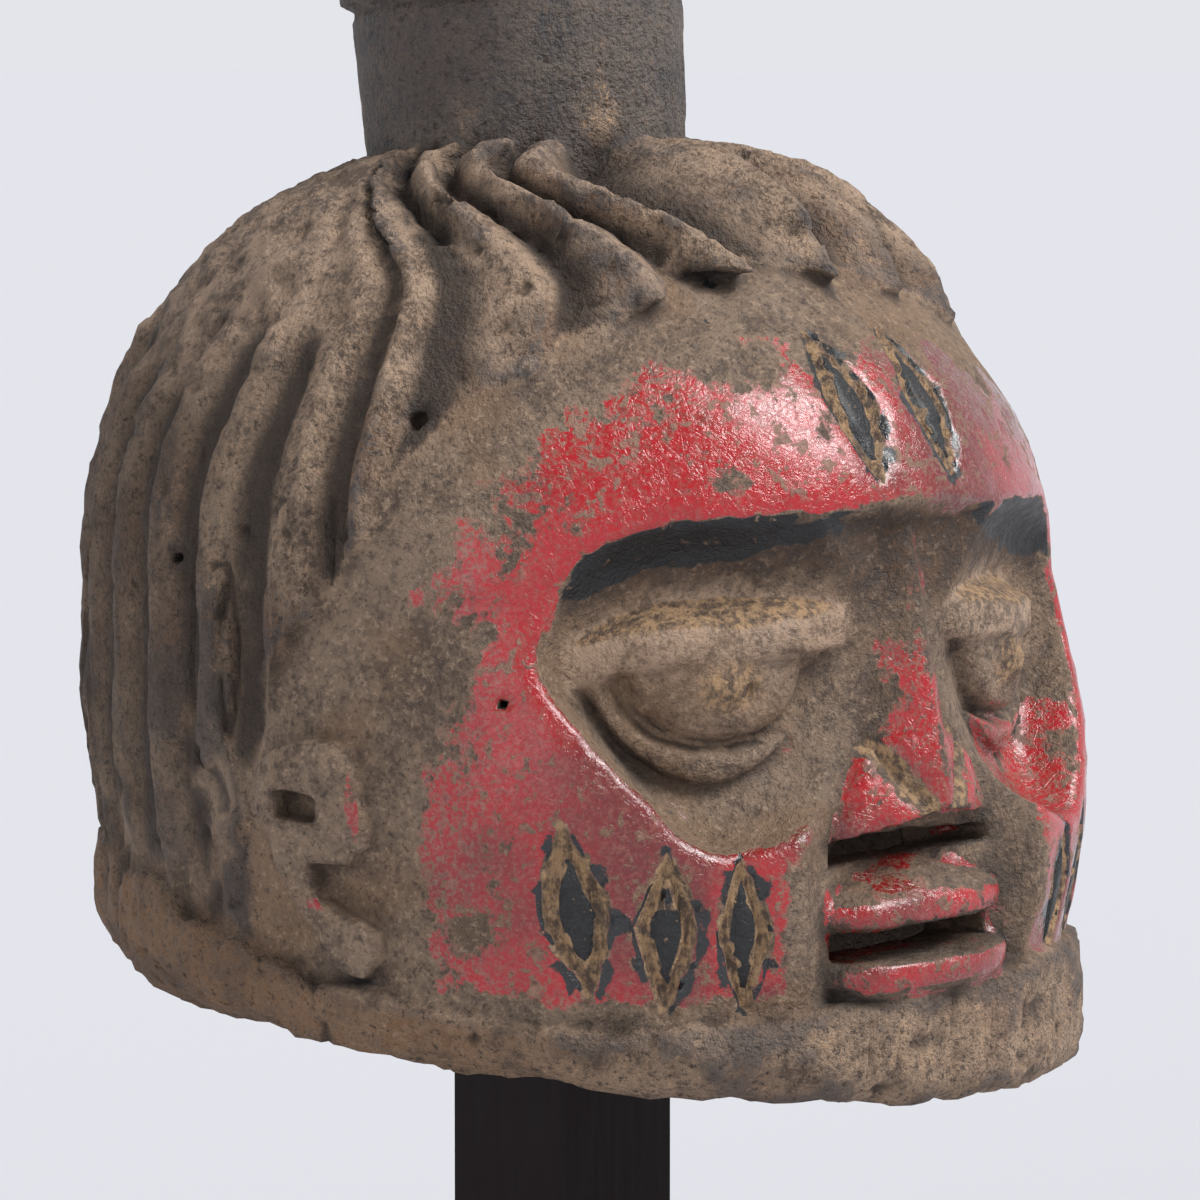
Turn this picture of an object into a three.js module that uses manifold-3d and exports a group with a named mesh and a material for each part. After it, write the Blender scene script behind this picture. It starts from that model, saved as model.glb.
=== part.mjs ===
// A carved wooden helmet mask: a face with raised brows and cheek marks under combed hair,
// hollow from below, held up by a square post on a square foot.
// Millimetres, +Z up, the face looks along -Y. The origin is the centre of the foot's underside.
import * as THREE from 'three';
import { mergeVertices } from 'three/addons/utils/BufferGeometryUtils.js';
import Module from 'manifold-3d';

const wasm = await Module();
wasm.setup();

// Stand
const footSide = 190;
const footHeight = 24;
const footChamfer = 4;
const postSide = 40;
const touchGap = 0.3; // between pieces that rest on each other
const rimHeight = 122; // the mask's rim plane above the table
const headForward = 7.5; // head centre in front of the post's axis

// Head block, heights measured up from the rim plane
const headRadius = 130;
const domeStart = 105;
const domeRise = 128;
const domePower = 2.7;
const browSetBack = 16; // how much flatter the dome is over the forehead
const browSetBackPower = 1.2; // how fast that fades round the sides
const nape = 5.5; // how far the back draws in above the collar

// Hollow
const hollowRadius = 104;
const hollowHeight = 182; // flat ceiling, where the post's head bears
const hollowDome = 190;
const hollowPower = 2.6;

// Collar left rough round the rim
const collarFront = 21;
const collarBack = 46;
const collarBulge = 2; // past the hair at the back
const collarRound = 11;
const collarOverlap = 4; // how deep the hair and the face stand in it
const collarWaver = 0.8; // unevenness of the rim
const rimLevel = 1; // middle height of the uneven rim
const rimTilt = 11.5; // from there down to its lowest point
const rimLowAngle = 46; // where it hangs lowest

// Hair
const partAngle = 66; // where the broad front locks give way to narrow ones
const frontLocks = 7;
const sideLocks = 11; // on each side, from the temple to the middle of the back
const frontLockDepth = 8;
const sideLockDepth = 5.5;
const lockSweep = 21; // degrees that the locks swing back on the crown
const sweepEnd = 100;
const stepsPerLock = 4;
const hairlineAngle = 82;
const hairlineBase = 40;
const hairlineRise = 148;
const hairlineRight = 3; // roundness of its arch on each side
const hairlineLeft = 5;
const hairlineReach = 50; // how far the clearing block stands past the head
const faceTuckShare = 0.12; // how much the face draws in under the hair

// Face surface
const foreheadRadius = 122;
const foreheadStart = 118;
const foreheadRise = 102;
const cheekHeight = 66;
const cheekTuck = 9;
const cheekRaise = 1; // past the head radius

// Eyes
const socketAngle = 30.5;
const socketHeight = 101;
const socketHalfWidth = 44;
const socketHalfHeight = 41;
const socketDepth = 16;
const eyeAngle = 27.5;
const eyeHeight = 98;
const eyeHalfWidth = 24;
const eyeHalfHeight = 16;
const eyeStand = 3; // front of the eye behind the face surface
const lidHalfWidth = 34;
const lidThickness = 15;
const lidHeight = 111;
const lidTilt = 11;
const lidStand = 1;
const lowerLidHalfWidth = 30;
const lowerLidHalfHeight = 21;

// Nose
const noseTop = 139;
const noseBase = 63;
const noseHalfWidth = 27;
const noseBridgeHalfWidth = 9;
const noseBridgeDepth = 117; // from the head's axis to the front of the bridge
const noseTipDepth = 131;
const noseWingDepth = 119;
const nostrilGroove = 5;
const nostrilRise = 20;

// Sunk middle of the face, which the nose and lips stand in
const panelDepth = 113; // its floor, from the head's axis
const panelHalfWidth = 46;
const panelBottom = 17;
const browHeight = 139;

// Mouth
const lipHalfWidth = 31;
const lipReach = 19;
const lowerLipBottom = 19.5;
const lowerLipTop = 31.5;
const upperLipBottom = 39;
const upperLipTop = 55;
const upperLipInset = 4;
const lipBevel = 3;
const slotDepth = 8; // behind the panel's floor

// Cut lozenge marks
const cheekMarks = 3;
const cheekMarkAngle = 26;
const cheekMarkPitch = 9.3;
const cheekMarkHeight = 40;
const cheekMarkLift = 1.6; // the outer marks climb by this times the square of their number
const cheekMarkHalfWidth = 9;
const cheekMarkHalfHeight = 21;
const foreheadMarkSpread = 13;
const foreheadMarkHeight = 167;
const foreheadMarkHalfWidth = 7.5;
const foreheadMarkHalfHeight = 20;
const markDepth = 5;

// Ears
const earAngle = 73.5;
const earHeight = 58;
const earHalfWidth = 14;
const earLength = 58;
const earStand = 7;
const earPocketWidth = 11;
const earPocketHeight = 10;
const earTurn = 6; // degrees that it leans

// Stump on the crown, with a low collared top
const neckRadius = 42;
const neckFlare = 2;
const neckHeight = 33; // above the crown
const neckBack = 21;
const neckLean = 5.5;
const neckRoot = 24; // sunk into the crown
const topRingHeight = 15;
const topRingProud = 3;

const degree = Math.PI / 180;
const crownHeight = domeStart + domeRise;

function smoothstep(low, high, value) {
  return THREE.MathUtils.smoothstep(value, low, high);
}

// Turns a closed three.js geometry into a solid that can be joined and cut.
function solid(geometry) {
  const bare = geometry.clone();
  bare.deleteAttribute('normal');
  bare.deleteAttribute('uv');
  const merged = mergeVertices(bare, 1e-4);
  const corners = [];
  const index = merged.index.array;
  for (let i = 0; i < index.length; i += 3) {
    const [a, b, c] = [index[i], index[i + 1], index[i + 2]];
    if (a !== b && b !== c && c !== a) {
      corners.push(a, b, c);
    }
  }
  const vertProperties = new Float32Array(merged.attributes.position.array);
  const triVerts = new Uint32Array(corners);
  return new wasm.Manifold(new wasm.Mesh({ numProp: 3, vertProperties, triVerts }));
}

function geometryOf(shape) {
  const mesh = shape.getMesh();
  const geometry = new THREE.BufferGeometry();
  geometry.setAttribute('position', new THREE.BufferAttribute(mesh.vertProperties, 3));
  geometry.setIndex(new THREE.BufferAttribute(mesh.triVerts, 1));
  geometry.computeVertexNormals();
  return geometry;
}

function joined(shapes) {
  return shapes.reduce((sum, shape) => sum.add(shape));
}

// Moves every vertex of a geometry by a function of its own place.
function reshape(geometry, rule) {
  const position = geometry.attributes.position;
  const point = new THREE.Vector3();
  for (let i = 0; i < position.count; i += 1) {
    point.fromBufferAttribute(position, i);
    rule(point, i);
    position.setXYZ(i, point.x, point.y, point.z);
  }
  return geometry;
}

// Sets a piece, modelled facing -Y at the axis, out on the head at an angle from the front.
function setOnHead(geometry, angle, depth, height) {
  return geometry.translate(0, -depth, height).rotateZ(angle * degree);
}

// A turned body whose angle and place in the profile are then moved by a rule.
function turned(profile, angles, rule) {
  const geometry = new THREE.LatheGeometry(profile, angles.length);
  geometry.rotateX(Math.PI / 2);
  return reshape(geometry, (point, i) => {
    const column = Math.floor(i / profile.length) % angles.length;
    const spot = profile[i % profile.length];
    const place = rule(spot.x, spot.y, angles[column]);
    const turn = place.angle * degree;
    point.set(place.radius * Math.sin(turn), -place.radius * Math.cos(turn), place.height);
  });
}

function evenAngles(count) {
  return Array.from({ length: count }, (unused, i) => (360 * i) / count);
}

function fromFront(angle) {
  return Math.abs(THREE.MathUtils.euclideanModulo(angle + 180, 360) - 180);
}

function domeRadius(height) {
  const rise = THREE.MathUtils.clamp((height - domeStart) / domeRise, 0, 1);
  return headRadius * (1 - rise ** domePower) ** (1 / domePower);
}

function faceRadius(height) {
  if (height > foreheadStart) {
    const rise = Math.min((height - foreheadStart) / foreheadRise, 1);
    return foreheadRadius * Math.sqrt(1 - rise * rise);
  }
  const drop = (height - cheekHeight) / (foreheadStart - cheekHeight);
  return headRadius + cheekRaise - cheekTuck * drop * drop;
}

function collarTop(angle) {
  return collarFront + (collarBack - collarFront) * smoothstep(70, 120, fromFront(angle));
}

function rimBottom(angle) {
  return rimLevel - rimTilt * Math.cos((angle - rimLowAngle) * degree);
}

// Groove angles at the hairline: broad locks across the front, narrow ones round the back.
function lockAngles() {
  const frontPitch = (2 * partAngle) / frontLocks;
  const sidePitch = (180 - partAngle) / sideLocks;
  const grooves = [];
  for (let i = 0; i < frontLocks; i += 1) {
    grooves.push({ start: -partAngle + i * frontPitch, pitch: frontPitch });
  }
  for (let i = 0; i < 2 * sideLocks; i += 1) {
    grooves.push({ start: partAngle + i * sidePitch, pitch: sidePitch });
  }
  return grooves;
}

// The combed hair, from inside the collar up to the crown.
function hair() {
  const columns = [];
  for (const lock of lockAngles()) {
    for (let i = 0; i < stepsPerLock; i += 1) {
      columns.push({ angle: lock.start + (lock.pitch * i) / stepsPerLock, share: i / stepsPerLock });
    }
  }
  const shares = new Map(columns.map((column) => [column.angle, column.share]));
  const base = collarFront - collarOverlap;
  const profile = [new THREE.Vector2(0, base)];
  const wallRows = 3;
  for (let i = 0; i < wallRows; i += 1) {
    profile.push(new THREE.Vector2(headRadius, base + ((domeStart - base) * i) / wallRows));
  }
  const domeRows = 11;
  for (let i = 0; i <= domeRows; i += 1) {
    const swing = (Math.PI / 2) * (i / domeRows);
    const height = domeStart + domeRise * Math.sin(swing) ** (2 / domePower);
    profile.push(new THREE.Vector2(i === domeRows ? 0 : domeRadius(height), height));
  }
  return solid(turned(profile, columns.map((column) => column.angle), (radius, height, angle) => {
    if (radius === 0) {
      return { radius, height, angle };
    }
    const away = fromFront(angle);
    const side = Math.sin(angle * degree) < 0 ? -1 : 1;
    const sweep = away < sweepEnd ? lockSweep * Math.sin((Math.PI * away) / sweepEnd) ** 2 : 0;
    const crest = Math.sqrt(Math.sin(Math.PI * shares.get(angle)));
    const depth = THREE.MathUtils.lerp(frontLockDepth, sideLockDepth, smoothstep(60, 80, away));
    const fade = 1 - smoothstep(crownHeight - 8, crownHeight, height);
    const groove = depth * fade * (1 - crest);
    const slope = (radius / headRadius) ** (domePower - 1);
    const front = ((1 + Math.cos(angle * degree)) / 2) ** browSetBackPower;
    const setBack = smoothstep(domeStart + 30, domeStart + 80, height) *
      (1 - 0.6 * smoothstep(domeStart + 100, crownHeight, height));
    const steep = Math.hypot(slope, 1 - slope);
    const drawnIn = nape * (1 - smoothstep(collarBack - 10, domeStart - 15, height));
    return {
      radius: radius - drawnIn - browSetBack * front * setBack - (groove * slope) / steep,
      height: height - (groove * (1 - slope)) / steep,
      angle: angle + side * sweep * smoothstep(domeStart + 80, crownHeight - 8, height),
    };
  }));
}

// A block bent round the head that clears the hair off the face, up to the arched hairline.
function faceClearing() {
  const steps = 26;
  const inner = headRadius / 2;
  const outer = headRadius + hairlineReach;
  const floor = rimLevel - rimTilt - collarRound;
  const geometry = new THREE.BoxGeometry(2, 1, 1, steps, 1, 1);
  return solid(reshape(geometry, (point) => {
    const across = Math.sin((point.x * Math.PI) / 2);
    const power = across < 0 ? hairlineRight : hairlineLeft;
    const arch = Math.max(1 - Math.abs(across) ** power, 0) ** (1 / power);
    const turn = across * hairlineAngle * degree;
    const depth = point.y < 0 ? outer : inner;
    const height = point.z > 0 ? hairlineBase + hairlineRise * arch : floor;
    point.set(depth * Math.sin(turn), -depth * Math.cos(turn), height);
  }));
}

// The smooth face, drawn in at the back so that it stays inside the hair.
function face() {
  const rows = 14;
  const base = collarFront - collarOverlap;
  const top = foreheadStart + foreheadRise;
  const profile = [new THREE.Vector2(0, base)];
  for (let i = 0; i < rows; i += 1) {
    const height = base + (top - base) * Math.sin((Math.PI * i) / (2 * rows));
    profile.push(new THREE.Vector2(faceRadius(height), height));
  }
  profile.push(new THREE.Vector2(0, top));
  return solid(turned(profile, evenAngles(60), (radius, height, angle) => {
    const back = smoothstep(hairlineAngle - 4, hairlineAngle + 16, fromFront(angle));
    return { radius: radius * (1 - faceTuckShare * back), height, angle };
  }));
}

// The rough collar, higher at the back and rounded under at the rim.
function collar() {
  const edge = headRadius - collarBulge / 2;
  const profile = [new THREE.Vector2(0, 0)];
  const roundSteps = 3;
  for (let i = 0; i <= roundSteps; i += 1) {
    const swing = (Math.PI / 2) * (i / roundSteps);
    const radius = edge - collarRound * (1 - Math.sin(swing));
    profile.push(new THREE.Vector2(radius, collarRound * (1 - Math.cos(swing))));
  }
  profile.push(new THREE.Vector2(edge - collarBulge, collarFront));
  profile.push(new THREE.Vector2(0, collarFront));
  return solid(turned(profile, evenAngles(72), (radius, height, angle) => {
    if (height === collarFront) {
      return { radius, height: collarTop(angle), angle };
    }
    const waver = Math.sin(5 * angle * degree) + Math.sin(11 * angle * degree);
    const place = radius > 0 ? radius + waver * collarWaver : 0;
    return { radius: place, height: rimBottom(angle) * (radius > 0 ? 1 : 0) + height, angle };
  }));
}

function ellipsoid(halfWidth, halfDepth, halfHeight, around, down) {
  return new THREE.SphereGeometry(1, around, down).scale(halfWidth, halfDepth, halfHeight);
}

function eyeSocket(side) {
  const surface = faceRadius(socketHeight);
  const cut = ellipsoid(socketHalfWidth, socketDepth, socketHalfHeight, 24, 14);
  return solid(setOnHead(cut, side * socketAngle, surface, socketHeight));
}

function eye(side) {
  const surface = faceRadius(eyeHeight);
  const ball = ellipsoid(eyeHalfWidth, socketDepth, eyeHalfHeight, 16, 10);
  const under = ellipsoid(lowerLidHalfWidth, socketDepth, lowerLidHalfHeight, 18, 10);
  const lid = ellipsoid(lidHalfWidth, socketDepth, lidThickness / 2, 18, 8);
  lid.rotateY(side * lidTilt * degree);
  const reach = surface - eyeStand - socketDepth;
  return joined([
    solid(setOnHead(ball, side * eyeAngle, reach, eyeHeight)),
    solid(setOnHead(under, side * eyeAngle, reach - eyeStand, eyeHeight - eyeStand)),
    solid(setOnHead(lid, side * eyeAngle, surface - lidStand - socketDepth, lidHeight)),
  ]);
}

// A four-cornered wedge: ridge at the front, wings at the sides, root inside the face.
function nose() {
  const length = noseTop - noseBase;
  const geometry = new THREE.CylinderGeometry(1, 1, length, 4, 1);
  geometry.rotateX(Math.PI / 2).translate(0, 0, noseBase + length / 2);
  const wedge = solid(reshape(geometry, (point) => {
    const low = point.z < noseBase + length / 2;
    const halfWidth = low ? noseHalfWidth : noseBridgeHalfWidth;
    const front = low ? noseTipDepth : noseBridgeDepth;
    const flank = low ? noseWingDepth : noseBridgeDepth - noseBridgeHalfWidth / 2;
    const depth = THREE.MathUtils.lerp(flank, front, Math.max(-point.y, 0));
    point.x *= halfWidth;
    point.y = point.y > 0.5 ? -hollowRadius : -depth;
  }));
  const grooves = [-1, 1].map((side) => {
    const half = noseHalfWidth / 2;
    const run = Math.hypot(half, nostrilRise);
    const cut = new THREE.BoxGeometry(nostrilGroove, nostrilGroove, run);
    cut.rotateZ(Math.PI / 4).rotateY(side * Math.atan2(half, nostrilRise));
    const depth = (noseTipDepth + noseWingDepth) / 2;
    const height = noseBase + (nostrilRise + nostrilGroove) / 2;
    return solid(cut.translate((side * (half + nostrilGroove)) / 2, -depth, height));
  });
  return grooves.reduce((sum, cut) => sum.subtract(cut), wedge);
}

// The sunk middle of the face from the brow to the chin, a trough that runs out at the cheeks.
function middlePanel() {
  const length = browHeight - panelBottom;
  const geometry = new THREE.CylinderGeometry(1, 1, length, 32, 1).rotateX(Math.PI / 2);
  geometry.scale(panelHalfWidth, headRadius - panelDepth, 1);
  return solid(geometry.translate(0, -headRadius, panelBottom + length / 2));
}

function halfEllipse(halfWidth, reach) {
  const outline = new THREE.Shape();
  outline.moveTo(-halfWidth, lipReach);
  outline.lineTo(-halfWidth, 0);
  const steps = 14;
  for (let i = 1; i <= steps; i += 1) {
    const swing = (Math.PI * i) / steps;
    outline.lineTo(-halfWidth * Math.cos(swing), -reach * Math.sin(swing));
  }
  outline.lineTo(halfWidth, lipReach);
  return outline;
}

function lip(bottom, top, inset) {
  const outline = halfEllipse(lipHalfWidth - lipBevel, lipReach - lipBevel - inset);
  const geometry = new THREE.ExtrudeGeometry(outline, {
    depth: top - bottom - 2 * lipBevel,
    bevelThickness: lipBevel,
    bevelSize: lipBevel,
    bevelSegments: 2,
  });
  return solid(geometry.translate(0, -panelDepth, bottom + lipBevel));
}

// A slot behind the panel's floor, between two heights.
function slot(bottom, top) {
  const reach = 2 * slotDepth;
  const geometry = new THREE.BoxGeometry(2 * (lipHalfWidth - lipBevel), reach, top - bottom);
  return solid(geometry.translate(0, -panelDepth + slotDepth - reach / 2, (top + bottom) / 2));
}

function lozenge(halfWidth, halfHeight, angle, depth, height, lean) {
  const cut = new THREE.OctahedronGeometry(1).scale(halfWidth, markDepth, halfHeight);
  return solid(setOnHead(cut.rotateX(lean * degree), angle, depth, height));
}

function marks() {
  const cuts = [];
  for (const side of [-1, 1]) {
    for (let i = 0; i < cheekMarks; i += 1) {
      const height = cheekMarkHeight + cheekMarkLift * i * i;
      const angle = side * (cheekMarkAngle + cheekMarkPitch * i);
      cuts.push(lozenge(cheekMarkHalfWidth, cheekMarkHalfHeight, angle, faceRadius(height), height, 0));
    }
    const depth = faceRadius(foreheadMarkHeight);
    const slope = (faceRadius(foreheadMarkHeight - 1) - faceRadius(foreheadMarkHeight + 1)) / 2;
    const lean = -Math.atan(slope) / degree;
    const angle = side * Math.asin(foreheadMarkSpread / depth) / degree;
    const [wide, high] = [foreheadMarkHalfWidth, foreheadMarkHalfHeight];
    cuts.push(lozenge(wide, high, angle, depth, foreheadMarkHeight, lean));
  }
  return joined(cuts);
}

// An ear in relief: a hooked outline with a squared pocket and a tapering lobe.
function ear(side) {
  const half = earLength / 2;
  const outline = new THREE.Shape();
  outline.moveTo(side * earHalfWidth * 0.1, -half);
  outline.lineTo(side * -earHalfWidth * 0.6, -half * 0.6);
  outline.lineTo(side * -earHalfWidth, -half * 0.1);
  outline.quadraticCurveTo(side * -earHalfWidth, half * 0.95, side * 0, half);
  outline.quadraticCurveTo(side * earHalfWidth, half * 0.9, side * earHalfWidth, half * 0.2);
  outline.lineTo(side * earHalfWidth * 0.35, half * 0.05);
  outline.lineTo(side * earHalfWidth * 0.5, -half * 0.6);
  const wide = (side * earPocketWidth) / 2;
  const hole = new THREE.Path();
  const middle = half * 0.45;
  hole.moveTo(-wide, middle - earPocketHeight / 2);
  hole.lineTo(wide, middle - earPocketHeight / 2);
  hole.lineTo(wide, middle + earPocketHeight / 2);
  hole.lineTo(-wide, middle + earPocketHeight / 2);
  outline.holes.push(hole);
  const relief = new THREE.ExtrudeGeometry(outline, {
    depth: 2 * earStand,
    bevelEnabled: false,
    curveSegments: 5,
  });
  relief.rotateX(Math.PI / 2).rotateY(-side * earTurn * degree);
  return solid(setOnHead(relief, -side * earAngle, faceRadius(earHeight) - earStand, earHeight));
}

// The stump on the crown with its low collared top.
function neck() {
  const top = neckHeight + topRingHeight;
  const upper = neckRadius + neckFlare;
  const ring = upper + topRingProud;
  const chamfer = topRingProud;
  const profile = [
    new THREE.Vector2(0, -neckRoot),
    new THREE.Vector2(neckRadius, -neckRoot),
    new THREE.Vector2(neckRadius, neckHeight / 2),
    new THREE.Vector2(upper, neckHeight),
    new THREE.Vector2(ring, neckHeight + chamfer),
    new THREE.Vector2(ring, top - chamfer),
    new THREE.Vector2(ring - chamfer, top),
    new THREE.Vector2(0, top),
  ];
  const geometry = new THREE.LatheGeometry(profile, 40).rotateX(Math.PI / 2);
  geometry.rotateX(-neckLean * degree);
  return solid(geometry.translate(0, neckBack, crownHeight));
}

function hollow() {
  const below = rimLevel - rimTilt - collarRound;
  const profile = [new THREE.Vector2(0, below), new THREE.Vector2(hollowRadius, below)];
  const rows = 8;
  for (let i = 0; i <= rows; i += 1) {
    const height = hollowHeight * Math.sin((Math.PI * i) / (2 * rows));
    const rise = height / hollowDome;
    const radius = hollowRadius * (1 - rise ** hollowPower) ** (1 / hollowPower);
    profile.push(new THREE.Vector2(radius, height));
  }
  profile.push(new THREE.Vector2(0, hollowHeight));
  return solid(new THREE.LatheGeometry(profile, 36).rotateX(Math.PI / 2));
}

function mask() {
  const block = joined([hair().subtract(faceClearing()), face(), collar()]);
  const sockets = joined([eyeSocket(-1), eyeSocket(1), middlePanel()]);
  const carved = block.subtract(sockets);
  const whole = joined([
    carved,
    eye(-1),
    eye(1),
    nose(),
    lip(lowerLipBottom, lowerLipTop, 0),
    lip(upperLipBottom, upperLipTop, upperLipInset),
    ear(-1),
    ear(1),
    neck(),
  ]);
  const slots = joined([slot(lowerLipTop, upperLipBottom), slot(upperLipTop, noseBase)]);
  return whole.subtract(joined([slots, marks(), hollow()]));
}

function stand() {
  const half = footSide / 2;
  const outline = new THREE.Shape();
  outline.moveTo(-half + footChamfer, -half + footChamfer);
  outline.lineTo(half - footChamfer, -half + footChamfer);
  outline.lineTo(half - footChamfer, half - footChamfer);
  outline.lineTo(-half + footChamfer, half - footChamfer);
  const foot = new THREE.ExtrudeGeometry(outline, {
    depth: footHeight - 2 * footChamfer,
    bevelThickness: footChamfer,
    bevelSize: footChamfer,
    bevelSegments: 1,
  });
  foot.translate(0, 0, footChamfer);
  const postLength = rimHeight + hollowHeight - touchGap - footHeight - touchGap;
  const post = new THREE.BoxGeometry(postSide, postSide, postLength);
  return { foot, post, postLength };
}

const paintedWood = new THREE.MeshStandardMaterial({ color: 0x6b5a4c, roughness: 0.8, metalness: 0 });
const standWood = new THREE.MeshStandardMaterial({ color: 0x241d1d, roughness: 0.4, metalness: 0 });

const object = new THREE.Group();

const maskMesh = new THREE.Mesh(geometryOf(mask()), paintedWood);
maskMesh.name = 'mask';
maskMesh.position.set(0, -headForward, rimHeight);
object.add(maskMesh);

const { foot, post, postLength } = stand();
const postMesh = new THREE.Mesh(post, standWood);
postMesh.name = 'stand_post';
postMesh.position.set(0, 0, footHeight + touchGap + postLength / 2);
object.add(postMesh);

const footMesh = new THREE.Mesh(foot, standWood);
footMesh.name = 'stand_foot';
object.add(footMesh);

export default object;
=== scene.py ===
import math
import bmesh
import bpy
import numpy as np
import openvdb
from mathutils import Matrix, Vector


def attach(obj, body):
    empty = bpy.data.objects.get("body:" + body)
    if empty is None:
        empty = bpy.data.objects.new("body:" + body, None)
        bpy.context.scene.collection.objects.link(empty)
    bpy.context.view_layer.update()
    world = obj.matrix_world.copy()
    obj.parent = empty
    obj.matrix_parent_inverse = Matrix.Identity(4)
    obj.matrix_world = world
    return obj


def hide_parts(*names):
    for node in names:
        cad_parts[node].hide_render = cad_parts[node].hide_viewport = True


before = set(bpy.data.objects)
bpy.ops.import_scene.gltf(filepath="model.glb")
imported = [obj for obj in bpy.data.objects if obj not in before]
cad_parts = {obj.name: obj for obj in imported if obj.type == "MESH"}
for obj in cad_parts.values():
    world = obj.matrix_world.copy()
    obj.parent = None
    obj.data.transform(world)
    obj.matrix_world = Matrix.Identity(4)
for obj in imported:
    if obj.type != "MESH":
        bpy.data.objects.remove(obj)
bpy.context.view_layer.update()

# The mask is sculpted in millimetres round the head's own axis, with z up from the rim.
# Angles are in degrees from the front, negative towards the mask's own right.
headForward = 7.5
rimHeight = 122.0


def smooth(low, high, value):
    t = np.clip((value - low) / (high - low), 0, 1)
    return t * t * (3 - 2 * t)


def smoothMin(a, b, blend):
    h = np.clip(0.5 + 0.5 * (b - a) / blend, 0, 1)
    return b + (a - b) * h - blend * h * (1 - h)


def smoothMax(a, b, blend):
    return -smoothMin(-a, -b, blend)


def allOf(blend, *fields):
    result = fields[0]
    for field in fields[1:]:
        result = smoothMax(result, field, blend)
    return result


def ellipsoid(u, v, w, halfU, halfV, halfW):
    a, b, c = u / halfU, v / halfV, w / halfW
    near = np.sqrt(a * a + b * b + c * c) + 1e-6
    far = np.sqrt((a / halfU) ** 2 + (b / halfV) ** 2 + (c / halfW) ** 2) + 1e-6
    return near * (near - 1) / far


def toSegment(u, v, start, end):
    alongU, alongV = end[0] - start[0], end[1] - start[1]
    t = ((u - start[0]) * alongU + (v - start[1]) * alongV) / (alongU**2 + alongV**2)
    t = np.clip(t, 0, 1)
    return np.hypot(u - start[0] - t * alongU, v - start[1] - t * alongV)


# random values at the corners of a cubic lattice, which repeats every 64 cells
lattice = np.random.default_rng(11).uniform(-1, 1, (64, 64, 64)).astype(np.float32)


def noise(points, size, shift=0.0):
    q = points / np.asarray(size, np.float32) + np.float32(shift)
    cell = np.floor(q)
    f = (q - cell).astype(np.float32)
    f = f * f * (3 - 2 * f)
    i = cell.astype(np.int64) & 63
    j = (i + 1) & 63
    total = np.zeros(len(points), np.float32)
    for a in (0, 1):
        ia = (j if a else i)[:, 0]
        fa = f[:, 0] if a else 1 - f[:, 0]
        for b in (0, 1):
            ib = (j if b else i)[:, 1]
            fb = fa * (f[:, 1] if b else 1 - f[:, 1])
            low = lattice[ia, ib, i[:, 2]]
            high = lattice[ia, ib, j[:, 2]]
            total += fb * (low + (high - low) * f[:, 2])
    return total


def fractal(points, size, layers=3, shift=0.0):
    total, weight, size = 0.0, 0.0, np.asarray(size, np.float32)
    for k in range(layers):
        total = total + noise(points, size / 2**k, shift + 7.3 * k) * 0.55**k
        weight += 0.55**k
    return total / weight


head = {
    "radius": 130, "start": 105, "rise": 127, "power": 2.7,  # upright below start, a dome above it
    "setBack": 16.5, "nape": 5.0,
    "ceiling": 182, "hollowRadius": 104, "hollowTop": 190, "hollowPower": 2.6,
}
combing = {
    "frontGrooves": [-64.5, -46.2, -27.9, -9.6, 8.7, 27, 45.3, 63.6],
    "sideGrooves": [72, 82.5, 92.2, 102.5, 113, 124, 135.2, 146.4, 157.6, 168.8, 180],
    "frontDepth": 11.5, "sideDepth": 10.5, "wobble": 1.6,
    "sweep": 25, "stumpSweep": 0.8, "stumpReach": 74, "leftSweep": 0.12,
    "parting": 12, "templeAngle": 64, "backAngle": 150,
}
hairline = {  # angles from the front and the heights of the hair's lower edge
    "right": ([0, 20, 27, 36, 46, 56, 62, 65.5, 68, 72.5, 77, 81.5, 84.5, 85.5],
              [200, 199, 196, 191, 183, 172, 164, 150, 138, 124, 110, 97, 70, 20]),
    "left": ([0, 20, 46, 60, 68, 73, 78, 82, 84.5, 85.5],
             [200, 196, 183, 181, 172, 158, 135, 110, 70, 20]),
}
rim = {"radius": 129.3, "level": 1.3, "tilt": 11.5, "lowestAngle": 46, "rounding": 9}
# angles from the front and the heights of the collar's upper edge
collarTop = ([-180, -120, -105, -90, -75, -58, -40, -17, 0, 26, 60, 75, 90, 111, 180],
             [50, 52, 48, 38, 27, 20, 17, 20, 22, 27, 25, 27, 38, 50, 50])


def domeField(r, theta, z):
    radius, rise = head["radius"], head["rise"]
    front = ((1 + np.cos(np.radians(theta))) / 2) ** 1.2
    back = head["setBack"] * front * smooth(135, 185, z) * (1 - 0.6 * smooth(205, 231, z))
    drawnIn = head["nape"] * (1 - smooth(38, 92, z))
    n = head["power"]
    a = (r + back + drawnIn) / radius
    t = np.clip((z - head["start"]) / rise, 0, None)
    s = np.clip(a**n + t**n, 0.05, None) ** (1 / n)
    slope = np.hypot(a ** (n - 1) / radius, t ** (n - 1) / rise) * s ** (1 - n)
    return (s - 1) / np.clip(slope, 0.004, None)


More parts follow.
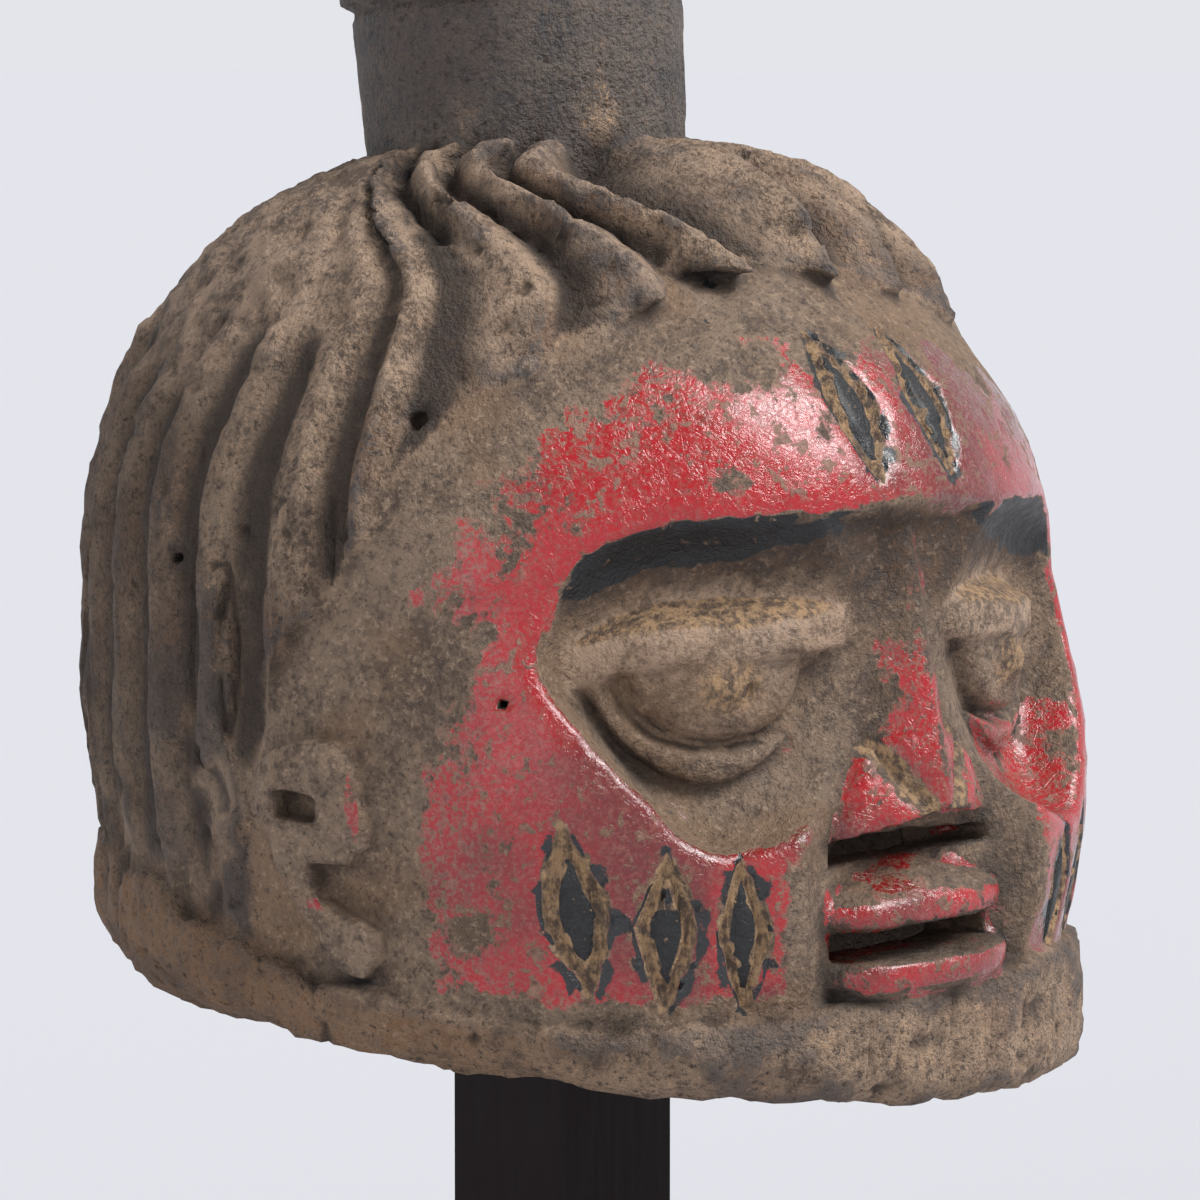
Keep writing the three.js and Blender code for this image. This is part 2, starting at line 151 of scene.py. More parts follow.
# Number of the lock, place across it from 0 to 1, and the angle where it ends below.
def locks(theta, z, r):
    away = np.abs(theta)
    c = combing
    swept = c["sweep"] * smooth(193, 228, z) + c["stumpSweep"] * np.clip(c["stumpReach"] - r, 0, 26)
    swept = swept * np.where(theta > 0, c["leftSweep"], 1.0)
    # the sweep grows from the parting, is whole to the temple and fades out at the back
    temple, fading, parting = c["templeAngle"], c["backAngle"] - c["templeAngle"], c["parting"]
    behind = temple + (away - temple - swept) * fading / (fading - swept)
    root = np.where(away < temple + swept, away - swept, behind)
    root = np.where(away < parting + swept, away * parting / (parting + swept), root)
    root = np.where(away > c["backAngle"], away, root)
    sides = c["sideGrooves"]
    lines = [-g for g in sides[::-1]] + c["frontGrooves"] + sides
    place = np.interp(np.sign(theta) * root, lines, np.arange(len(lines)))
    index = np.floor(place).astype(int)
    return index, place - index, root


# How far below the crests the hair lies, and the height across a lock from 0 to 1.
def lockRelief(points, theta, z):
    wobble = combing["wobble"] * noise(points, (30, 30, 22), 3.1)
    r = np.hypot(points[:, 0], points[:, 1])
    index, share, root = locks(theta + wobble * smooth(70, 90, np.abs(theta)), z, r)
    front = 1 - smooth(62, 68, root)
    own = np.random.default_rng(5).uniform(-1, 1, (80, 3))[index % 80]
    turned = np.where(theta > 66, 1 - share, share)
    crest = 0.8 + 0.05 * own[:, 0]
    rising = np.clip(share / crest, 0, 1) ** 0.62
    falling = np.clip((1 - share) / (1 - crest), 0, 1) ** 0.6
    frontHeight = np.minimum(rising, falling)
    sideCrest = 0.30 + 0.10 * own[:, 0]
    rising = np.clip(turned / sideCrest, 0, 1)
    falling = np.clip((1 - turned) / (1 - sideCrest), 0, 1)
    sideHeight = np.sin(0.5 * np.pi * np.minimum(rising, falling)) ** 0.85
    top = 176 + 9 * own[:, 1]
    eroded = smooth(-5, 6, z - top) * smooth(70, 84, root)
    crown = 1 - 0.75 * smooth(222, 232, z)
    frontDepth = combing["frontDepth"] * (1 + 0.2 * own[:, 2]) * (1 - frontHeight) * crown
    sideDepth = combing["sideDepth"] * (1 + 0.25 * own[:, 2]) * (1 - sideHeight)
    sideDepth = sideDepth * (1 - 0.90 * eroded) * (1 - 0.5 * smooth(205, 222, z)) + 2.6 * eroded * crown
    sideHeight = 1 - (1 - sideHeight) * (1 - 0.85 * eroded)
    height = frontHeight * front + sideHeight * (1 - front)
    return frontDepth * front + sideDepth * (1 - front), height


# Distance into the face from the hair's lower edge.
def hairlineGap(points, theta, z, height):
    away = np.abs(theta)
    ragged = 2.6 * noise(points, 16, 9.2) + 1.3 * noise(points, 6, 1.7)
    gap = np.zeros_like(z)
    for side, mine in (("right", theta < 0), ("left", theta >= 0)):
        angles, heights = (np.array(row, float) for row in hairline[side])
        edge = np.interp(away, angles, heights)
        middles = (angles[1:] + angles[:-1]) / 2
        slope = np.interp(away, middles, np.diff(heights) / np.diff(angles) / 2.1)
        gap = np.where(mine, (edge - z) / np.sqrt(1 + slope * slope), gap)
    scallop = 4.0 * (0.6 - height) * (1 - smooth(56, 66, away))
    return gap + scallop + ragged


visage = {
    "foreheadRadius": 122, "foreheadStart": 118, "foreheadRise": 102,
    "cheekRadius": 131, "cheekHeight": 66, "cheekDrop": 9.35, "cheekSpan": 53,
    "brow": 141, "browSag": 0.052, "undercut": 0.875,
}


def faceRadius(theta, z):
    away = np.abs(theta)
    z = np.clip(z, -20, 210)
    v = visage
    above = (z - v["foreheadStart"]) / v["foreheadRise"]
    upper = v["foreheadRadius"] * np.sqrt(np.clip(1 - above**2, 0.02, None))
    lower = v["cheekRadius"] - v["cheekDrop"] * ((z - v["cheekHeight"]) / v["cheekSpan"]) ** 2
    front = np.where(z > v["foreheadStart"], upper, lower)
    front = front + 3.5 * np.exp(-((theta / 26) ** 2)) * smooth(122, 138, z) * (1 - smooth(165, 190, z))
    t = np.clip((z - head["start"]) / head["rise"], 0, 0.97)
    n = head["power"]
    back = head["setBack"] * ((1 + np.cos(np.radians(theta))) / 2) ** 1.2 * smooth(135, 185, z)
    side = head["radius"] * (1 - t**n) ** (1 / n) - back - 3.5 * (1 - smooth(30, 88, z)) - 4.2
    blend = smooth(44, 66, away)
    return front + (side - front) * blend


def browLine(away):
    sag = visage["browSag"] * np.clip(away - 30, 0, None) ** 2
    return visage["brow"] - sag + 2 * (1 - smooth(5, 14, away))


eyes = {
    "angle": 30.5, "perDegree": 2.18, "reach": 118, "lidHeight": 113.5, "lidThickness": 8.5,
    "socketHeight": 100, "socketOut": 42.0, "socketIn": 64.0, "socketDepth": 23,
}
noseShape = {"bridge": 117.5, "tipOut": 13.5, "top": 128, "span": 61, "wings": 131, "base": 67.3}
mouth = {"halfWidth": 31, "back": 113, "lower": 19, "upper": 15, "slant": 0.035}
lozenges = [  # angle, height, half width, half height, lean
    (44.5, 46.5, 9.2, 22.5, 7.5),
    (34.6, 41.0, 8.4, 20.3, 1.0),
    (26.0, 39.8, 7.2, 20.3, 3.5),
]
foreheadMark = {"x": 13, "height": 165.5, "halfWidth": 7.5, "halfHeight": 19.5}
cutMarks = {"perDegree": 2.28, "depth": 2.8, "middleDepth": 0.5}
ear = {
    "angle": 74, "perDegree": 2.23, "stand": 6.6, "tilt": 0.10,
    "outline": [
        (-13.6, 79.5), (-11, 83), (-2.7, 86), (5.7, 86), (9.5, 82.7), (11.7, 76.2), (13.3, 68.4),
        (14.2, 61.9), (9.5, 58.7), (8.7, 56.4), (-2.7, 56.7), (-1.1, 53.5), (0.4, 47.6), (5.7, 44.4),
        (11.7, 42.6), (16.0, 39.2), (16.4, 33.3), (12.5, 28.8), (5.7, 30.8), (1.1, 37.9), (-4.2, 44.4),
        (-7.2, 50.2), (-10.6, 56), (-11.4, 62.6), (-14, 65.8), (-14.8, 71), (-14.4, 75),
    ],
    "pocket": (-4.0, 70.2, 5.6, 3.6),  # across, height, half width, half height
}


# Millimetres across the face from the middle of an eye or ear, growing towards the nose.
def acrossEye(away):
    return (eyes["angle"] - away) * eyes["perDegree"]


def acrossEar(away):
    return (ear["angle"] - away) * ear["perDegree"]


# Shares of the nearest lozenge mark: 1 on its outline, and 1 on the edge of its black middle.
def markShares(theta, x, z):
    away = np.abs(theta)
    outer, inner = np.full_like(z, 9.0), np.full_like(z, 9.0)
    for angle, height, halfWidth, halfHeight, lean in lozenges:
        across = (angle - away) * cutMarks["perDegree"]
        u = np.abs(across - lean * (height - z) / (2 * halfHeight)) / halfWidth
        v = np.abs(z - height) / halfHeight
        outer = np.minimum(outer, u + v**1.35)
        inner = np.minimum(inner, u / 0.44 + (v / 0.64) ** 1.2)
    m = foreheadMark
    u = np.abs(np.abs(x) - m["x"]) / m["halfWidth"]
    v = np.abs(z - m["height"]) / m["halfHeight"]
    outer = np.minimum(outer, u + v**1.35)
    inner = np.minimum(inner, u / 0.50 + (v / 0.72) ** 1.2)
    return outer, inner


def socketField(r, away, z):
    u = acrossEye(away)
    up = z - eyes["socketHeight"]
    inward = np.where(up > 0, eyes["socketIn"], eyes["socketIn"] - 0.40 * np.clip(-up, 0, 40))
    halfWidth = np.where(u > 0, inward, eyes["socketOut"])
    bowl = ellipsoid(u, up, r - 128, halfWidth, np.where(up > 0, 48.0, 40.0), eyes["socketDepth"])
    outerEdge = -0.74 * (u + 34.1) - 0.672 * (z - 99.8) - 2.6  # straighter below, on the outer side
    bowl = smoothMax(bowl, outerEdge, 6)
    brow = (z - browLine(away) + (121 - r) * visage["undercut"]) / 1.33
    return bowl, brow


# The upright hollow down the middle of the face, from the brow to below the lips.
def troughField(x, y, z, brow):
    return allOf(1.2, ellipsoid(x, y + 130, 0 * z, 46, 17, 1), brow, 17.5 - z)


def lidLine(u):
    return eyes["lidHeight"] + np.where(u < 0, 0.0, 0.05) * u - np.where(u < 0, 0.0065, 0.0) * u * u


def eyeField(r, away, z):
    u = acrossEye(away)
    top = lidLine(u)
    upperLid = allOf(
        1.6, (z - top - (eyes["reach"] - r) * 0.58) / 1.16, top - eyes["lidThickness"] - z,
        (r - eyes["reach"] + 0.0022 * (u - 8) ** 2), np.abs(u - 6) - 40)
    # lower lid: pointed bowl with a groove round the eyeball
    low = np.abs(u - 5) / 34
    down = np.abs(z - 103) / 28
    ring = (low**1.7 + down**1.7) ** (1 / 1.7)
    lowerLid = allOf(2.0, (ring - 1) * 24, r - 113.5 - 3.0 * (1 - ring), z - top + 5)
    ball = np.hypot((u - 8) / 25.5, (z - 101) / 15.5)
    groove = 5.0 * np.exp(-(((ball - 1.06) / 0.12) ** 2)) * smooth(-3, 3, 103 - z)
    lowerLid = lowerLid + groove
    eyeball = ellipsoid(u - 8, z - 101.5, r - 104, 24.5, 16.0, 12.8)
    pupil = ellipsoid(u - 9, z - 99.5, r - 113.5, 8.5, 6.5, 5.0)
    eyeball = smoothMin(eyeball, pupil, 2.5)
    eye = smoothMin(lowerLid, eyeball, 0.8)
    return smoothMin(eye, upperLid, 1.6), ring, ball, upperLid


def noseField(x, y, z):
    across = np.abs(x)
    n = noseShape
    ridge = n["bridge"] + np.clip((n["top"] - z) / n["span"], -0.2, 1.03) * n["tipOut"]
    fall = 0.95 * (np.sqrt(across * across + 2.2) - 1.48) + 0.25 * np.logaddexp(0, across - 9)
    bridge = (-y - ridge + fall) / 1.5
    half = np.clip(15.5 + 0.4875 * (86 - z), 0, 40)
    reach = n["wings"] - 0.474 * np.clip(across - 2.5, 0, None) - 0.30 * (z - 65)
    wing = (-y - reach) / 1.15
    wing = allOf(1.0, wing, (across - half) / 1.11, z - 86.5 + 0.15 * across)
    whole = smoothMin(bridge, wing, 1.0)
    # grooves from the wings' tops down to the tip
    side = ((across - 2.5) * 18.5 - (z - 67.0) * 13) / 22.6
    along = ((across - 2.5) * 13 + (z - 67.0) * 18.5) / 22.6**2
    leaf = np.clip(4 * along * (1 - along), 0, None) ** 0.7 * (along > 0) * (along < 1)
    cut = np.where(side > 0, np.clip(1 - side / 5.5, 0, 1), np.clip(1 + side / 2.2, 0, 1))
    whole = whole + 4.2 * leaf * cut
    base = n["base"] - np.where(x < 0, 6.5, 3.4) * across / 27
    return allOf(0.6, whole, base - z, z - 141, across - 34, y + 100), leaf * cut


# The lips, and the slots between them and above them.
def lipFields(x, y, z):
    m = mouth
    level = z - m["slant"] * x
    across = np.abs(x) / m["halfWidth"]

    def plan(reach):
        share = (across**2.5 + (np.abs(y + m["back"]) / reach) ** 2.5) ** 0.4
        return (share - 1) * reach * 0.8

    e = np.where(y < -m["back"], plan(m["lower"]), (across - 1) * m["halfWidth"])
    lower = allOf(1.9, e, level - 31.8, 0.676 * e - 0.737 * (level - 25), 19.2 - level, -y - 140)
    e = np.where(y < -m["back"], plan(m["upper"]), (across - 1) * m["halfWidth"])
    upper = allOf(1.9, e, 0.655 * e + 0.755 * (level - 45.6), 39 - level, level - 57)
    between = allOf(0.5, across * m["halfWidth"] - 27.5, 31.5 - level, level - 39, y + 103, -y - 131)
    above = allOf(0.5, across * m["halfWidth"] - 29, 55 - level, z - 60.5, y + 103, -y - 126)
    lips = smoothMax(smoothMin(lower, upper, 0.3), y + 100, 0.5)
    return lips, smoothMin(between, above, 0.3)


def polygonField(u, v, corners):
    nearest = np.full_like(u, 50.0)
    inside = np.zeros(len(u), bool)
    for start, end in zip(corners, corners[1:] + corners[:1]):
        nearest = np.minimum(nearest, toSegment(u, v, start, end))
        crosses = (start[1] > v) != (end[1] > v)
        reach = start[0] + (v - start[1]) * (end[0] - start[0]) / (end[1] - start[1] + 1e-9)
        inside ^= crosses & (u < reach)
    return np.where(inside, -nearest, nearest)


def earField(r, theta, z, surface):
    u = acrossEar(np.abs(theta))
    flat = np.full_like(z, 30.0)
    close = (np.abs(u) < 30) & (np.abs(z - 57) < 42)
    flat[close] = polygonField(u[close], z[close], ear["outline"]) - 0.4
    middle, height, halfWidth, halfHeight = ear["pocket"]
    level = np.abs(z - height + 0.1 * (u - middle)) - halfHeight
    pocket = smoothMax(np.abs(u - middle) - halfWidth, level, 1.5)
    slab = np.abs(r - surface) - ear["stand"] + ear["tilt"] * (u - 8)  # the back edge stands further out
    return smoothMax(smoothMax(flat, slab, 2.4), -pocket, 1.0)


def collarField(points, r, theta, z):
    top = np.interp(theta, *collarTop) + 2.2 * noise(points, 18, 5.5) + 1.0 * noise(points, 7, 8.5)
    lowest = np.cos(np.radians(theta - rim["lowestAngle"]))
    bottom = rim["level"] - rim["tilt"] * lowest
    bottom = bottom + 1.6 * noise(points, 20, 2.5) + 0.8 * noise(points, 7, 6.1)
    back = (1 - lowest) / 2
    radius = rim["radius"] - 3.0 * back
    rounding = rim["rounding"] + 16 * back
    a, b = r - radius + rounding, bottom - z + rounding
    body = np.minimum(np.maximum(a, b), 0) + np.hypot(np.maximum(a, 0), np.maximum(b, 0)) - rounding
    return smoothMax(body, z - top, 3.5)


stump = {"radius": 41.5, "setBack": 21.3, "lean": 5.5, "base": 232, "height": 34, "ringTop": 47.5}


# The stump on the crown, with the ring that ends it.
def stumpField(x, y, z):
    s = stump
    lean = math.radians(s["lean"])
    up = (z - s["base"]) * math.cos(lean) + (y - s["setBack"]) * math.sin(lean)
    out = (y - s["setBack"]) * math.cos(lean) - (z - s["base"]) * math.sin(lean)
    reach = np.hypot(x, out)
    wide = s["radius"] + 1.8 * np.clip(up / s["height"], -1, 1)
    body = allOf(1.0, reach - wide, up - s["height"] - 5)
    ring = allOf(2.0, reach - wide - 2.6, s["height"] + 0.6 - up, up - s["ringTop"])
    line = 1.6 * np.exp(-(((up - s["height"] + 1.2) / 1.1) ** 2))
    return smoothMin(body + line, ring, 0.6)


holes = [  # angle, height, radius, depth
    (-64.6, 163, 2.6, 12), (-92.0, 79.5, 2.6, 12), (-66.2, 176, 1.5, 7), (-23.0, 98.0, 2.0, 6),
    (-52.5, 96.5, 1.3, 6), (-60, 134, 1.0, 5), (38, 104, 1.8, 7), (-96, 128, 1.6, 6),
]


# Distance to the carved surface in millimetres, negative in the wood.
def carve(points):
    x, y, z = points[:, 0], points[:, 1], points[:, 2]
    r = np.hypot(x, y)
    theta = np.degrees(np.arctan2(x, -y))
    away = np.abs(theta)

    relief, height = lockRelief(points, theta, z)
    hair = domeField(r, theta, z) + relief
    gap = hairlineGap(points, theta, z, height)
    nearSide = smooth(-22, -36, theta) * smooth(-72, -64, theta)
    farSide = smooth(-10, -3, theta) * smooth(80, 60, theta)
    hair = hair + smooth(-17, 0, gap) * (2.2 * nearSide + 3.4 * farSide)
    collarEdge = np.interp(theta, *collarTop)
    hair = allOf(1.8, hair, gap, collarEdge - 10 - z)

    surface = faceRadius(theta, z)
    slope = (faceRadius(theta, z + 1.5) - surface) / 1.5
    face = (r - surface) / np.sqrt(1 + slope * slope)
    bowl, brow = socketField(r, away, z)
    face = smoothMax(face, -smoothMax(bowl, brow, 1.2), 2.0 + 3.0 * smooth(108, 92, z))
    face = smoothMax(face, -troughField(x, y, z, brow), 2.2)
    eye, _, _, _ = eyeField(r, away, z)
    face = smoothMin(face, eye, 1.0)
    nose, _ = noseField(x, y, z)
    face = smoothMin(face, nose, 1.4)
    lips, slots = lipFields(x, y, z)
    face = smoothMin(face, lips, 0.8)
    face = smoothMax(face, -slots, 0.5)
    outer, inner = markShares(theta, x, z)
    cut = np.clip(np.minimum((1 - outer) / 0.2, (inner - 1) / 0.3), 0, 1)
    face = face + cutMarks["depth"] * cut + cutMarks["middleDepth"] * (inner < 1)
    face = allOf(1.0, face, 10 + (collarEdge - 20) * smooth(70, 100, away) - z, z - 204)

    lobe = earField(r, theta, z, surface)
    whole = smoothMin(face, hair, 1.2 + 2.2 * nearSide + 2.5 * farSide)
    whole = smoothMin(whole, lobe, 1.0)
    whole = smoothMin(whole, collarField(points, r, theta, z), 1.2)
    whole = smoothMin(whole, stumpField(x, y, z), 1.5)
    for angle, level, radius, depth in holes:
        px, py = math.sin(math.radians(angle)), -math.cos(math.radians(angle))
        side = np.hypot(x * py - y * px, z - level)
        bore = np.maximum(side - radius, np.hypot(x, y) * -1 + 128 - depth - 8)
        whole = np.maximum(whole, np.where(x * px + y * py > 0, -bore, -9))

    n = head["hollowPower"]
    share = (r / head["hollowRadius"]) ** n + np.clip(z / head["hollowTop"], 0, None) ** n
    share = np.clip(share, 0.02, None) ** (1 / n)
    hollow = np.maximum((share - 1) * 96, z - head["ceiling"])
    return smoothMax(whole, -hollow, 2.5)


meshing = {
    "voxel": 1.3, "quickVoxel": 3.0, "perCell": 5, "chunk": 6000, "triangles": 190000,
    "low": (-138, -141, -22.0), "high": (140, 140, 284.0),
}


# Meshes the carved form: a coarse pass finds where the surface runs, a fine one fills that band.
def sculpt(voxel):
    low, high = np.array(meshing["low"]), np.array(meshing["high"])
    n = meshing["perCell"]
    coarse = voxel * n
    counts = np.ceil((high - low) / coarse).astype(int) + 1
    axes = [low[k] + coarse * (np.arange(counts[k]) + 0.5) for k in range(3)]
    centres = np.stack(np.meshgrid(*axes, indexing="ij"), -1).reshape(-1, 3).astype(np.float32)
    near = carve(centres)
    busy = np.abs(near) < coarse * 1.35 + 5
    steps = (np.arange(n) - n // 2) * voxel
    offsets = np.stack(np.meshgrid(steps, steps, steps, indexing="ij"), -1).reshape(-1, 3)
    field = np.where(near < 0, -30.0, 30.0).astype(np.float32).reshape(counts)
    field = np.repeat(np.repeat(np.repeat(field, n, 0), n, 1), n, 2)
    cells = np.argwhere(busy.reshape(counts))
    fine = np.stack(np.meshgrid(*[np.arange(n)] * 3, indexing="ij"), -1).reshape(-1, 3)
    for i in range(0, len(cells), meshing["chunk"]):
        part = cells[i:i + meshing["chunk"]]
        middle = centres.reshape(*counts, 3)[part[:, 0], part[:, 1], part[:, 2]]
        points = (middle[:, None] + offsets[None]).reshape(-1, 3).astype(np.float32)
        where = (part[:, None] * n + fine[None]).reshape(-1, 3)
        field[where[:, 0], where[:, 1], where[:, 2]] = carve(points)
    print(f"carving: {len(cells)} cells, {len(cells) * n**3} samples")
    grid = openvdb.FloatGrid(background=30.0)
    grid.copyFromArray(field, tolerance=0)
    points, quads = grid.convertToQuads(isovalue=0)
    points = points * voxel + (low + 0.5 * voxel)
    return points.astype(np.float32), quads


def meshFrom(name, points, faces):
    mesh = bpy.data.meshes.new(name)
    size = faces.shape[1]
    mesh.vertices.add(len(points))
    mesh.vertices.foreach_set("co", points.astype(np.float32).ravel())
    mesh.loops.add(faces.size)
    mesh.loops.foreach_set("vertex_index", faces.astype(np.int32).ravel())
    mesh.polygons.add(len(faces))
    mesh.polygons.foreach_set("loop_start", np.arange(len(faces), dtype=np.int32) * size)
    mesh.update(calc_edges=True)
    mesh.validate()
    piece = bpy.data.objects.new(name, mesh)
    bpy.context.scene.collection.objects.link(piece)
    return piece


def positionsOf(mesh):
    values = np.zeros(len(mesh.vertices) * 3, np.float32)
    mesh.vertices.foreach_get("co", values)
    return values.reshape(-1, 3)


def normalsOf(mesh):
    values = np.zeros(len(mesh.vertices) * 3, np.float32)
    mesh.vertices.foreach_get("normal", values)
    return values.reshape(-1, 3)


# Deletes the crumbs that aren't joined to the main body.
def keepLargest(piece):
    mesh = piece.data
    edges = np.zeros(len(mesh.edges) * 2, np.int32)
    mesh.edges.foreach_get("vertices", edges)
    a, b = edges[0::2], edges[1::2]
    label = np.arange(len(mesh.vertices))
    moved = True
    while moved:
        low = np.minimum(label[a], label[b])
        lower = label.copy()
        np.minimum.at(lower, a, low)
        np.minimum.at(lower, b, low)
        lower = lower[lower]
        moved = bool((lower != label).any())
        label = lower
    names, counts = np.unique(label, return_counts=True)
    crumbs = np.flatnonzero(label != names[counts.argmax()])
    body = bmesh.new()
    body.from_mesh(mesh)
    body.verts.ensure_lookup_table()
    bmesh.ops.delete(body, geom=[body.verts[i] for i in crumbs], context="VERTS")
    body.to_mesh(mesh)
    body.free()
    print(f"crumbs deleted: {len(names) - 1}")


# Soft masks that say which part of the carving each vertex is on.
def regions(points):
    x, y, z = points[:, 0], points[:, 1], points[:, 2]
    r = np.hypot(x, y)
    theta = np.degrees(np.arctan2(x, -y))
    away = np.abs(theta)
    _, height = lockRelief(points, theta, z)
    gap = hairlineGap(points, theta, z, height)
    collar = 1 - smooth(-3, 2, z - np.interp(theta, *collarTop))
    onStump = 1 - smooth(0.6, 3, np.abs(stumpField(x, y, z)))
    surface = faceRadius(theta, z)
    hollow = (r < surface - 14) & (r < 105) & (z < 184) & (z > -20) & (onStump < 0.5)
    hair = smooth(-0.5, 1.5, -gap) * (1 - collar) * (1 - onStump)
    return {
        "x": x, "y": y, "z": z, "r": r, "theta": theta, "away": away, "height": height,
        "surface": surface, "collar": collar, "stump": onStump, "hair": hair,
        "face": (1 - hair) * (1 - collar) * (1 - onStump), "hollow": hollow.astype(np.float32),
        "ear": 1 - smooth(0, 1.5, earField(r, theta, z, surface)),
    }


wear = {
    "collarLumps": 2.0, "collarPits": 1.5, "hairLumps": 1.5, "hairFibres": 0.75, "hairPits": 1.8,
    "faceLumps": 0.5, "facePits": 0.45, "stumpLumps": 1.0, "splits": 2.4,
}


# Pushes the surface in and out where the wood has worn, flaked and split.
def weather(points, normals):
    part = regions(points)
    lumps = fractal(points, 15, 3, 1.1)
    grain = fractal(points, (3.2, 3.2, 13), 3, 4.4)
    crumble = fractal(points, 5.0, 3, 2.2)
    pits = np.clip((noise(points, 4.2, 6.6) + 0.5 * crumble - 0.42) / 0.5, 0, 1)
    worn = smooth(-0.15, 0.45, fractal(points, 34, 2, 3.3))
    split = np.exp(-((noise(points, (11, 11, 90), 9.9) / 0.07) ** 2))
    split = split * smooth(-0.05, 0.25, noise(points, 31, 4.9))
    split = split * smooth(0.45, 0.15, np.abs(normals[:, 2]))
    upper = smooth(168, 190, part["z"]) * part["hair"] * smooth(60, 78, part["away"])
    w = wear
    collarPush = w["collarLumps"] * lumps + 0.8 * crumble + 0.5 * grain - w["collarPits"] * pits
    push = part["collar"] * collarPush
    hairPush = w["hairLumps"] * lumps * (0.6 + 0.9 * upper) + w["hairFibres"] * grain
    hairPush = hairPush - w["hairPits"] * pits * (0.35 + 0.65 * worn) + crumble * (0.7 + 0.9 * upper)
    push = push + part["hair"] * hairPush
    push = push + part["stump"] * (w["stumpLumps"] * lumps + 0.5 * crumble - 0.8 * pits * worn)
    push = push - (0.5 * part["collar"] + part["hair"] * smooth(60, 80, part["away"])) * w["splits"] * split
    facePush = w["faceLumps"] * fractal(points, 9, 2, 5.1) + 0.25 * crumble - w["facePits"] * pits
    push = push + part["face"] * facePush
    push = push * (1 - 0.8 * part["hollow"]) + part["hollow"] * 0.8 * fractal(points, (9, 9, 30), 2, 8.8)
    return points + normals * push[:, None].astype(np.float32)


print("carving the mask")
points, faces = sculpt(meshing["voxel"])
mask = meshFrom("carved_mask", points, faces)
print(f"surface: {len(points)} points")
points = weather(positionsOf(mask.data), normalsOf(mask.data))
mask.data.vertices.foreach_set("co", points.ravel())
mask.data.update()

# fewer triangles where nobody looks closely: the hollow and the back
triangles = 2 * len(mask.data.polygons)
part = regions(points)
keep = 1 - 0.9 * part["hollow"]
keep = keep * (1 - 0.45 * smooth(100, 140, part["away"]))
group = mask.vertex_groups.new(name="keep")
for level in range(1, 11):
    chosen = np.where(np.round(keep * 10).astype(int) == level)[0]
    if len(chosen):
        group.add(chosen.tolist(), level / 10, "REPLACE")
if triangles > meshing["triangles"]:
    thin = mask.modifiers.new("thin", "DECIMATE")
    thin.ratio = meshing["triangles"] / triangles
    thin.vertex_group = "keep"
    thin.vertex_group_factor = 1.0
    thin.use_collapse_triangulate = True
    graph = bpy.context.evaluated_depsgraph_get()
    thinned = bpy.data.meshes.new_from_object(mask.evaluated_get(graph))
    mask.modifiers.clear()
    mask.data = thinned
mask.vertex_groups.clear()
mask.data.validate()
keepLargest(mask)
print(f"thinned to {len(mask.data.polygons)} faces")

# angles from the front and the heights where the red ends on the forehead
redTop = ([-74, -66, -58, -47, -33, -15, 10, 30, 50, 66],
          [112, 128, 152, 172, 187, 190, 188, 181, 160, 130])


